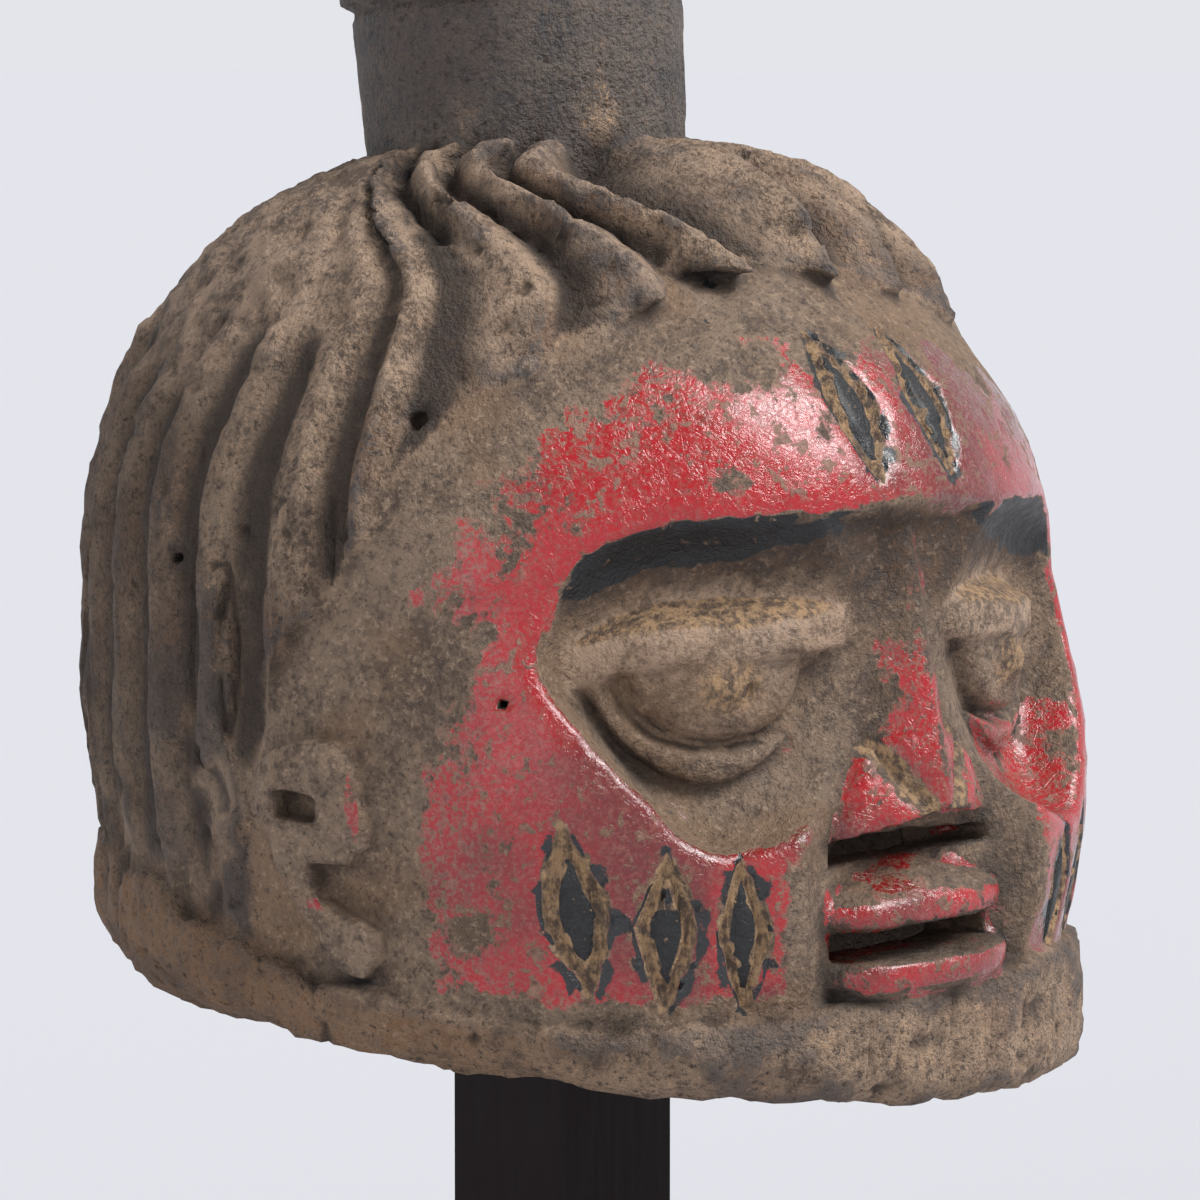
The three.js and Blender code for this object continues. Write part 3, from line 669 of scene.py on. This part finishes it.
# Where paint, cut wood, dark stain and dirt lie, and where shade and highlights are painted on, as shares
# that the material breaks up.
def shading(points, normals):
    part = regions(points)
    x, y, z, r = part["x"], part["y"], part["z"], part["r"]
    theta, away = part["theta"], part["away"]
    face = part["face"] * (1 - part["hollow"])
    opened = 0.0
    for reach, weight in ((1.6, 0.3), (4.0, 0.35), (9.0, 0.35)):
        opened = opened + weight * np.clip(carve(points + normals * reach) / reach, 0, 1)
    crest = 1 - np.clip(-carve(points - normals * 3.0) / 3.0, 0, 1)
    bowl, brow = socketField(r, away, z)
    socket = smoothMax(bowl, brow, 1.2)
    trough = troughField(x, y, z, brow)
    _, ring, ball, lid = eyeField(r, away, z)
    nose, leaf = noseField(x, y, z)
    lips, _ = lipFields(x, y, z)
    outer, inner = markShares(theta, x, z)
    inward = part["surface"] - r
    inSocket = smooth(2.2, 0.7, socket) * smooth(1.0, 3.2, inward)
    inTrough = smooth(2.0, 0.6, trough) * smooth(142, 138, z)
    onNose = smooth(1.8, 0.4, np.abs(nose)) * smooth(142, 136, z)
    onLips = smooth(1.8, 0.4, np.abs(lips))
    onLid = smooth(1.8, 0.4, np.abs(lid)) * inSocket

    limit = np.interp(theta, *redTop) - z
    forehead = smooth(-3, 3, brow) * smooth(-6, 10, limit) * (0.46 + 0.26 * smooth(4, 34, limit))
    forehead = forehead * (1 - 0.35 * smooth(52, 62, away)) * smooth(70, 64, away)
    cheek = smooth(1, -2, brow) * smooth(70, 58, away) * smooth(18, 27, z)
    cheek = cheek * (0.56 + 0.20 * smooth(58, 48, away))
    cheek = cheek * (1 - 0.5 * smooth(24, 19, away))
    red = np.maximum(forehead, cheek)
    browEdge = smooth(1.6, 0.9, inward) * smooth(-1.5, -0.5, brow) * smooth(7.5, 5.0, brow)
    browEdge = browEdge * smooth(57, 53, away) * smooth(2, 12, away)
    border = smooth(8.5, 4.0, socket) * smooth(4.2, 2.0, inward)
    border = border * smooth(112, 98, z) * smooth(64, 56, away)
    red = np.maximum(red, 0.95 * border) * (1 - inSocket) * (1 - (0.66 - 0.2 * smooth(0, 20, x)) * inTrough)
    red = np.maximum(red, (0.20 + 0.40 * smooth(12, 20, theta)) * inSocket * smooth(100, 82, z))
    red = np.maximum(red, 0.98 * browEdge)
    ridge = smooth(4.5, 1.5, np.abs(x)) * smooth(134, 112, z) * 0.55
    red = np.maximum(red, onNose * np.maximum(ridge, 0.36 + 0.28 * smooth(118, 92, z)) * (leaf < 0.10))
    frontLip = smooth(0.35, 0.8, -normals[:, 1]) * smooth(0.75, 0.45, np.abs(normals[:, 2]))
    red = np.maximum(red, onLips * (0.36 + 0.40 * frontLip))
    across = acrossEar(away)
    dab = smooth(3.2, 1.8, np.abs(across - 10.3 + 0.12 * (z - 70))) * smooth(11, 8, np.abs(z - 71))
    dab = np.maximum(dab, smooth(3, 1.6, np.hypot(across - 0.5, z - 46)))
    red = np.maximum(red, 0.58 * part["ear"] * dab)
    red = red * face * (1 - 0.6 * smooth(60, 68, away) * (1 - part["ear"])) * smooth(0.75, 0.45, 1 - opened)

    outline = smooth(1.17, 1.05, outer) * smooth(0.97, 1.0, outer)
    wall = smooth(1.01, 0.98, outer) * smooth(0.97, 1.04, inner)
    middle = smooth(1.04, 0.97, inner)
    bandWidth = np.interp(away, [9, 12, 25, 38, 47, 53, 57], [0, 5.0, 11.5, 12.0, 9.0, 6.0, 0])
    band = smooth(0.5, 1.3, inward) * smooth(0.8, -0.8, inward - bandWidth) * smooth(-4, -2, brow)
    band = band * smooth(9, 12, away) * smooth(58, 55, away) * smooth(98, 104, z)
    u = acrossEye(away)
    # painted shade: dark lines in the creases round the eyeball and along the lower lid's edge
    lines = np.exp(-(((ball - 1.06) / 0.09) ** 2)) * smooth(106, 100, z)
    lines = lines + smooth(1.12, 1.02, ring) * smooth(1.0, 1.06, ring)
    lines = lines * inSocket * smooth(112, 106, z) * 0.34
    inkAndShade = np.maximum.reduce([0.80 * outline, middle, band, lines])
    red = red * (1 - np.maximum(wall, middle)) * (1 - band)
    # dark brown in the sockets and high in the trough, darkest in the cove under the brow: partly stain,
    # partly painted shade
    cove = smooth(-1, 5, z - lidLine(u) - 8.5)
    sootAndShade = np.maximum(inSocket * (0.14 + 0.86 * cove), inTrough * (0.35 + 0.65 * smooth(112, 124, z)))
    # painted highlight: pale tan on the upper faces of the lids and a pale patch on each eyeball, counted
    # with the cut wood
    lidTopHighlight = onLid * smooth(0.15, 0.5, normals[:, 2])
    eyeball = np.exp(-(((u - 11) / 12) ** 2) - ((z - 99) / 8) ** 2) * inSocket
    bareAndHighlight = np.maximum.reduce([wall, (leaf > 0.10) * onNose * 0.8, 0.66 * lidTopHighlight, 0.82 * eyeball])
    red = red * (1 - 0.8 * lines)

    # old paint on the stump, paler upper faces of the locks, and painted shade that darkens the sides and
    # back, more so near the rim
    stumpPaint = part["stump"] * (0.60 + 0.9 * fractal(points, 24, 3, 21.5))
    paleUpperFaces = smooth(0.2, 0.75, normals[:, 2]) * part["hair"] * smooth(150, 190, z)
    paleUpperFaces = paleUpperFaces * smooth(0.3, 0.8, part["height"]) * (0.65 + 0.35 * smooth(10, -25, theta))
    sideShade = smooth(62, 108, away) * (1 - part["stump"]) * 0.75
    sideShade = sideShade + 0.25 * smooth(40, 10, z) * smooth(60, 90, away)
    return {
        "red": red, "inkAndShade": inkAndShade * face, "sootAndShade": sootAndShade * face, "bareAndHighlight": bareAndHighlight * face,
        "cavityShade": 1 - opened, "crest": crest + stumpPaint, "inside": part["hollow"],
        "paleTopsAndHighlights": np.maximum.reduce([paleUpperFaces, 0.8 * onLid * (1 - cove), 0.9 * eyeball]),
        "soil": part["collar"] * smooth(-30, -60, theta) + 0.35 * part["collar"],
        "sideShade": sideShade,
        "groove": (1 - part["height"]) * part["hair"] * (1 - 0.6 * smooth(222, 232, z)),
        "rough": np.clip(part["hair"] + part["collar"] + part["stump"], 0, 1),
        "broad": 0.5 + 0.6 * fractal(points, 30, 3, 12.5),
        "mottle": 0.5 + 0.6 * fractal(points, 9, 3, 15.5),
    }


def toLinear(red, green, blue):
    channels = []
    for value in (red, green, blue):
        c = value / 255
        channels.append(c / 12.92 if c <= 0.04045 else ((c + 0.055) / 1.055) ** 2.4)
    return (*channels, 1)


# A material being built: each call adds a node and gives back its output.
class nodePainter:
    def __init__(self, name):
        self.material = bpy.data.materials.new(name)
        self.material.use_nodes = True
        self.tree = self.material.node_tree
        self.shader = self.tree.nodes["Principled BSDF"]
        self.place = self.tree.nodes.new("ShaderNodeTexCoord").outputs["Object"]

    def put(self, socket, value):
        if isinstance(value, bpy.types.NodeSocket):
            self.tree.links.new(value, socket)
        else:
            socket.default_value = value

    def field(self, name):
        node = self.tree.nodes.new("ShaderNodeAttribute")
        node.attribute_name = name
        return node.outputs["Fac"]

    # noise whose features are about size millimetres across
    def noise(self, size, detail=4, roughness=0.6, swirl=0.0, stretch=(1, 1, 1), shift=0.0):
        moved = self.tree.nodes.new("ShaderNodeMapping")
        self.put(moved.inputs["Vector"], self.place)
        moved.inputs["Scale"].default_value = [1 / k for k in stretch]
        moved.inputs["Location"].default_value = (shift, shift * 0.7, shift * 1.3)
        node = self.tree.nodes.new("ShaderNodeTexNoise")
        self.put(node.inputs["Vector"], moved.outputs["Vector"])
        node.inputs["Scale"].default_value = 1000 / size
        node.inputs["Detail"].default_value = detail
        node.inputs["Roughness"].default_value = roughness
        node.inputs["Distortion"].default_value = swirl
        return node.outputs["Fac"]

    def cells(self, size, shift=0.0):
        moved = self.tree.nodes.new("ShaderNodeMapping")
        self.put(moved.inputs["Vector"], self.place)
        moved.inputs["Location"].default_value = (shift, shift, shift)
        node = self.tree.nodes.new("ShaderNodeTexVoronoi")
        node.feature = "DISTANCE_TO_EDGE"
        self.put(node.inputs["Vector"], moved.outputs["Vector"])
        node.inputs["Scale"].default_value = 1000 / size
        return node.outputs["Distance"]

    def math(self, operation, a, b=0.0, c=0.0):
        node = self.tree.nodes.new("ShaderNodeMath")
        node.operation = operation
        for socket, value in zip(node.inputs, (a, b, c)):
            self.put(socket, value)
        return node.outputs["Value"]

    def add(self, *terms):
        total = terms[0]
        for term in terms[1:]:
            total = self.math("ADD", total, term)
        return total

    def times(self, *terms):
        total = terms[0]
        for term in terms[1:]:
            total = self.math("MULTIPLY", total, term)
        return total

    def span(self, value, low, high, start=0.0, end=1.0):
        node = self.tree.nodes.new("ShaderNodeMapRange")
        node.interpolation_type = "SMOOTHSTEP"
        names = ("Value", "From Min", "From Max", "To Min", "To Max")
        for name, given in zip(names, (value, low, high, start, end)):
            self.put(node.inputs[name], given)
        return node.outputs["Result"]

    def blend(self, share, a, b):
        node = self.tree.nodes.new("ShaderNodeMix")
        node.data_type = "RGBA"
        self.put(node.inputs[0], share)
        self.put(node.inputs[6], a)
        self.put(node.inputs[7], b)
        return node.outputs[2]

    def mixNumber(self, share, a, b):
        node = self.tree.nodes.new("ShaderNodeMix")
        self.put(node.inputs[0], share)
        self.put(node.inputs[2], a)
        self.put(node.inputs[3], b)
        return node.outputs[0]

    def bump(self, height, depth):
        node = self.tree.nodes.new("ShaderNodeBump")
        node.inputs["Distance"].default_value = depth / 1000
        self.put(node.inputs["Height"], height)
        self.put(self.shader.inputs["Normal"], node.outputs["Normal"])


# Some of these colours also serve as painted shade: the darker sides and back, and the dark brown and black
# where they darken cavities, grooves and creases.
colours = {
    "dusty": (170, 145, 121), "dark": (78, 61, 48), "earth": (128, 100, 74),
    "tan": (196, 160, 128), "rust": (128, 94, 70), "slate": (62, 65, 70), "grime": (134, 113, 94),
    "sideShade": (70, 55, 43), "brown": (86, 64, 48), "sootAndShade": (54, 42, 34),
    "red": (172, 5, 20), "faded": (170, 72, 66), "dull": (112, 24, 26), "inkAndShade": (15, 16, 19),
    "inner": (84, 66, 50), "groove": (166, 134, 100), "umber": (132, 100, 72), "pale": (184, 156, 132),
}
gloss = {
    "woodLow": 0.60, "woodHigh": 0.92, "paintLow": 0.09, "paintHigh": 0.34, "bump": 1.6,
    "specular": 0.55, "coat": 0.45, "coatRoughness": 0.22,
}


def maskFinish():
    p = nodePainter("carved_painted_wood")
    tint = {name: toLinear(*value) for name, value in colours.items()}
    red, inkAndShade, sootAndShade, bareAndHighlight = (p.field(name) for name in ("red", "inkAndShade", "sootAndShade", "bareAndHighlight"))
    cavityShade, crest, rough = (p.field(name) for name in ("cavityShade", "crest", "rough"))
    inside, broad, mottle, groove = (p.field(name) for name in ("inside", "broad", "mottle", "groove"))
    sideShade = p.field("sideShade")
    small = p.noise(3.2, 4, 0.68, shift=2.0)
    speck = p.noise(1.1, 2, 0.6, shift=3.0)
    fibre = p.noise(1.6, 3, 0.65, 0.4, (1, 1, 7), 4.0)
    grit = p.noise(2.2, 3, 0.72, shift=7.0)
    pits = p.span(grit, 0.575, 0.66)
    crumbs = p.span(grit, 0.43, 0.36)
    patchy = p.add(p.times(mottle, 0.25), p.times(small, 0.5), p.times(speck, 0.25))

    # dusty wood, browner in places, with tan grit
    wood = p.blend(p.span(patchy, 0.36, 0.58), tint["dark"], tint["dusty"])
    wood = p.blend(p.times(p.span(fibre, 0.52, 0.72), 0.4), wood, tint["dark"])
    wood = p.blend(p.times(p.span(fibre, 0.46, 0.34), 0.35), wood, tint["tan"])
    wood = p.blend(p.times(p.span(broad, 0.46, 0.70), 0.45), wood, tint["rust"])
    wood = p.blend(p.times(crumbs, p.span(mottle, 0.40, 0.60), 0.75), wood, tint["tan"])
    # old blue-black paint, left mostly on the crests of the hair
    left = p.add(p.times(broad, 0.4), p.times(small, 0.35), p.times(speck, 0.25), p.times(crest, 0.34))
    slate = p.span(p.add(left, p.times(groove, -0.12)), 0.53, 0.63)
    wood = p.blend(p.times(slate, p.span(rough, 0.2, 0.8, 0, 0.72)), wood, tint["slate"])
    # painted shade: the sides and back darker
    wood = p.blend(p.times(sideShade, 0.84), wood, tint["sideShade"])
    wood = p.blend(p.times(p.field("soil"), p.span(patchy, 0.40, 0.62, 0.25, 0.75)), wood, tint["umber"])
    # painted shade: darker in cavities and, through the shadow mix, down the grooves between the locks
    wood = p.blend(p.times(p.span(cavityShade, 0.15, 0.60), 0.85), wood, tint["sootAndShade"])
    shadow = p.add(groove, p.times(patchy, 0.9))
    wood = p.blend(p.times(p.span(shadow, 0.62, 1.05), 0.92), wood, tint["sootAndShade"])
    wood = p.blend(p.times(pits, 0.8), wood, tint["sootAndShade"])

    grime = p.blend(p.span(patchy, 0.36, 0.60), tint["dark"], tint["grime"])
    grime = p.blend(p.times(p.span(broad, 0.46, 0.66), 0.55), grime, tint["earth"])
    grime = p.blend(p.times(crumbs, 0.45), grime, tint["dusty"])
    grime = p.blend(p.times(pits, 0.65), grime, tint["sootAndShade"])
    # painted shade: darker in cavities
    grime = p.blend(p.times(p.span(cavityShade, 0.18, 0.6), 0.75), grime, tint["sootAndShade"])
    ground = p.blend(rough, grime, wood)
    # dark brown for the sockets and trough, partly stain and partly painted shade
    sootAndShadeTone = p.blend(p.span(patchy, 0.38, 0.62), tint["sootAndShade"], tint["brown"])
    sootAndShadeTone = p.blend(p.times(p.span(mottle, 0.50, 0.62), 0.5), sootAndShadeTone, tint["sootAndShade"])
    sootAndShadeTone = p.blend(p.times(crumbs, 0.2), sootAndShadeTone, tint["dusty"])
    # painted shade: cavities in the sockets and trough go black
    sootAndShadeTone = p.blend(p.times(p.span(cavityShade, 0.12, 0.45), 0.75), sootAndShadeTone, tint["inkAndShade"])
    ground = p.blend(p.times(sootAndShade, 0.92), ground, sootAndShadeTone)
    # paler upper faces of the locks, and a painted highlight on the lids and eyeballs
    dusty = p.times(p.field("paleTopsAndHighlights"), p.span(patchy, 0.42, 0.58, 0.15, 0.80))
    ground = p.blend(dusty, ground, tint["pale"])

    # red enamel, broken by wear and covered by soil in blotches
    wornBy = p.add(p.times(broad, 0.3), p.times(mottle, 0.4), p.times(small, 0.3))
    redHere = p.span(p.math("MULTIPLY_ADD", wornBy, 2.0, red), 1.46, 1.54)
    soil = p.add(p.times(p.noise(6, 3, 0.7, 0.5, shift=5.0), 0.6), p.times(small, 0.4))
    soilHere = p.times(p.span(soil, 0.535, 0.585), p.span(red, 0.95, 0.75), 0.85)
    shown = p.times(redHere, p.math("SUBTRACT", 1.0, soilHere))
    enamel = p.blend(p.span(broad, 0.40, 0.70), tint["red"], tint["dull"])
    enamel = p.blend(p.times(p.span(speck, 0.48, 0.68), 0.35), enamel, tint["faded"])
    dust = p.span(p.add(p.times(grit, 0.6), p.times(speck, 0.4)), 0.44, 0.60)
    dust = p.times(dust, p.span(red, 0.80, 0.45, 0.24, 0.75))
    enamel = p.blend(dust, enamel, grime)
    colour = p.blend(shown, ground, enamel)

    # the wood laid open in the cuts, with painted highlights on the lids and eyeballs; black paint over it,
    # with painted shade in the eye's creases; and the plain hollow
    cutShade = p.span(p.add(p.times(small, 0.6), p.times(fibre, 0.4)), 0.40, 0.60)
    cutWood = p.blend(cutShade, tint["dark"], tint["groove"])
    colour = p.blend(p.span(p.math("MULTIPLY_ADD", small, 0.45, bareAndHighlight), 0.52, 0.92), colour, cutWood)
    inkAndShadeHere = p.span(p.math("MULTIPLY_ADD", patchy, 0.9, inkAndShade), 0.88, 0.98)
    inkAndShadeHere = p.times(inkAndShadeHere, p.span(small, 0.70, 0.60))
    colour = p.blend(inkAndShadeHere, colour, tint["inkAndShade"])
    colour = p.blend(inside, colour, p.blend(p.span(fibre, 0.35, 0.65), tint["dark"], tint["inner"]))
    # painted shade: the deepest cavities go black
    colour = p.blend(p.times(p.span(cavityShade, 0.5, 0.95), 0.75), colour, tint["inkAndShade"])
    p.put(p.shader.inputs["Base Color"], colour)

    painted = p.math("MAXIMUM", shown, p.times(inkAndShadeHere, 0.35))
    dull = p.span(small, 0.3, 0.7, gloss["woodLow"], gloss["woodHigh"])
    shiny = p.span(small, 0.35, 0.7, gloss["paintLow"], gloss["paintHigh"])
    p.put(p.shader.inputs["Roughness"], p.mixNumber(painted, dull, shiny))
    p.shader.inputs["Specular IOR Level"].default_value = gloss["specular"]

    wrinkle = p.noise(3.0, 2, 0.6, 2.2, shift=6.0)
    crack = p.span(p.cells(5.5, 0.4), 0.0, 0.05)
    coarse = p.add(p.times(fibre, 0.4), p.times(small, 1.3), p.times(grit, -1.5), p.times(speck, 0.5))
    fine = p.add(p.times(wrinkle, 0.34), p.times(small, 0.45), p.times(grit, -0.50), p.times(speck, 0.20))
    fine = p.add(fine, p.times(crack, 0.05))
    skin = p.add(p.times(wrinkle, 0.30), p.times(small, 0.12), p.times(crack, 0.04))
    fine = p.mixNumber(painted, fine, skin)
    p.bump(p.mixNumber(rough, fine, coarse), gloss["bump"])
    p.put(p.shader.inputs["Coat Weight"], p.times(painted, gloss["coat"]))
    p.shader.inputs["Coat Roughness"].default_value = gloss["coatRoughness"]
    return p.material


standLook = {
    "dark": (27, 17, 16), "light": (35, 25, 26), "cloudSize": 60, "grainSize": 2.5,
    "smooth": 0.45, "rough": 0.60, "specular": 0.15, "bump": 0.08,
}


def standFinish():
    p = nodePainter("dark_stand_paint")
    look = standLook
    cloud = p.noise(look["cloudSize"], 3, 0.5)
    grain = p.noise(look["grainSize"], 4, 0.6, 0, (1, 1, 12))
    shade = p.span(p.add(p.times(cloud, 0.5), p.times(grain, 0.5)), 0.35, 0.65)
    colour = p.blend(shade, toLinear(*look["dark"]), toLinear(*look["light"]))
    p.put(p.shader.inputs["Base Color"], colour)
    p.put(p.shader.inputs["Roughness"], p.span(grain, 0.3, 0.7, look["smooth"], look["rough"]))
    p.shader.inputs["Specular IOR Level"].default_value = look["specular"]
    p.bump(grain, look["bump"])
    return p.material


points = positionsOf(mask.data)
normals = normalsOf(mask.data)
fields = shading(points, normals)
for name, values in fields.items():
    layer = mask.data.attributes.new(name, "FLOAT", "POINT")
    layer.data.foreach_set("value", np.asarray(values, np.float32))
placed = (points + np.array([0, -headForward, rimHeight], np.float32)) / 1000
mask.data.vertices.foreach_set("co", placed.astype(np.float32).ravel())
mask.data.update()
mask.data.shade_smooth()
mask.data.materials.clear()
mask.data.materials.append(maskFinish())
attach(mask, "root")
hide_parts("mask")
print("mask painted")

standPaint = standFinish()
for name in ("stand_post", "stand_foot"):
    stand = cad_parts[name]
    stand.data.materials.clear()
    stand.data.materials.append(standPaint)
print("stand painted")

studio = {
    "horizon": (0.776, 0.784, 0.823), "zenith": (0.36, 0.365, 0.38), "floor": (0.649, 0.654, 0.688),
    "keyPower": 3.0, "keySpread": 32, "keyWay": (0.34, -0.56, 0.76),
    "sidePower": 0.5, "sideSpread": 45, "sideWay": (-0.93, -0.30, 0.14),
    "skyLow": 0.12, "skyHigh": 0.7, "floorRadius": 200,
}


# A broad soft light from one direction, even all over the floor.
def softLight(name, power, spread, way):
    light = bpy.data.lights.new(name, "SUN")
    light.energy = power
    light.angle = math.radians(spread)
    lamp = bpy.data.objects.new(name, light)
    direction = Vector(way).normalized()
    lamp.location = direction * 3
    lamp.rotation_euler = direction.to_track_quat("Z", "Y").to_euler()
    bpy.context.scene.collection.objects.link(lamp)


softLight("key_softbox", studio["keyPower"], studio["keySpread"], studio["keyWay"])
softLight("side_softbox", studio["sidePower"], studio["sideSpread"], studio["sideWay"])
world = bpy.data.worlds.new("pale_studio")
bpy.context.scene.world = world
world.use_nodes = True
sky = world.node_tree
toward = sky.nodes.new("ShaderNodeTexCoord")
split = sky.nodes.new("ShaderNodeSeparateXYZ")
ramp = sky.nodes.new("ShaderNodeMapRange")
mix = sky.nodes.new("ShaderNodeMix")
ramp.inputs["From Min"].default_value = studio["skyLow"]
ramp.inputs["From Max"].default_value = studio["skyHigh"]
mix.data_type = "RGBA"
mix.inputs[6].default_value = (*studio["horizon"], 1)
mix.inputs[7].default_value = (*studio["zenith"], 1)
sky.links.new(toward.outputs["Generated"], split.inputs[0])
sky.links.new(split.outputs["Z"], ramp.inputs["Value"])
sky.links.new(ramp.outputs["Result"], mix.inputs[0])
sky.links.new(mix.outputs[2], sky.nodes["Background"].inputs["Color"])

bpy.ops.mesh.primitive_circle_add(
    vertices=128, radius=studio["floorRadius"], fill_type="NGON", location=(0, 0, 0))
floor = bpy.context.object
floor.name = "floor"
floorPaint = bpy.data.materials.new("pale_floor")
floorPaint.use_nodes = True
paint = floorPaint.node_tree.nodes["Principled BSDF"]
paint.inputs["Base Color"].default_value = (*studio["floor"], 1)
paint.inputs["Roughness"].default_value = 1.0
paint.inputs["Specular IOR Level"].default_value = 0.0
floor.data.materials.append(floorPaint)
print("studio set")

view = {  # azimuth and pitch in degrees, lengths in metres, the lens in millimetres
    "azimuth": 44.0, "distance": 1.6, "height": 0.37235, "aside": 0.00468,
    "pitch": 4.99, "lens": 185.55,
}
turn = math.radians(view["azimuth"])
camera = bpy.data.objects.new("camera", bpy.data.cameras.new("camera"))
bpy.context.scene.collection.objects.link(camera)
camera.data.lens = view["lens"]
camera.data.sensor_width = 36
camera.data.clip_start = 0.05
camera.data.clip_end = 400
away = view["distance"]
camera.location = (
    -math.sin(turn) * away + math.cos(turn) * view["aside"],
    -math.cos(turn) * away - math.sin(turn) * view["aside"] - headForward / 1000,
    view["height"],
)
camera.rotation_euler = (math.radians(90 - view["pitch"]), 0, -turn)
bpy.context.scene.camera = camera
bpy.context.scene.view_settings.view_transform = "Standard"

print("done")
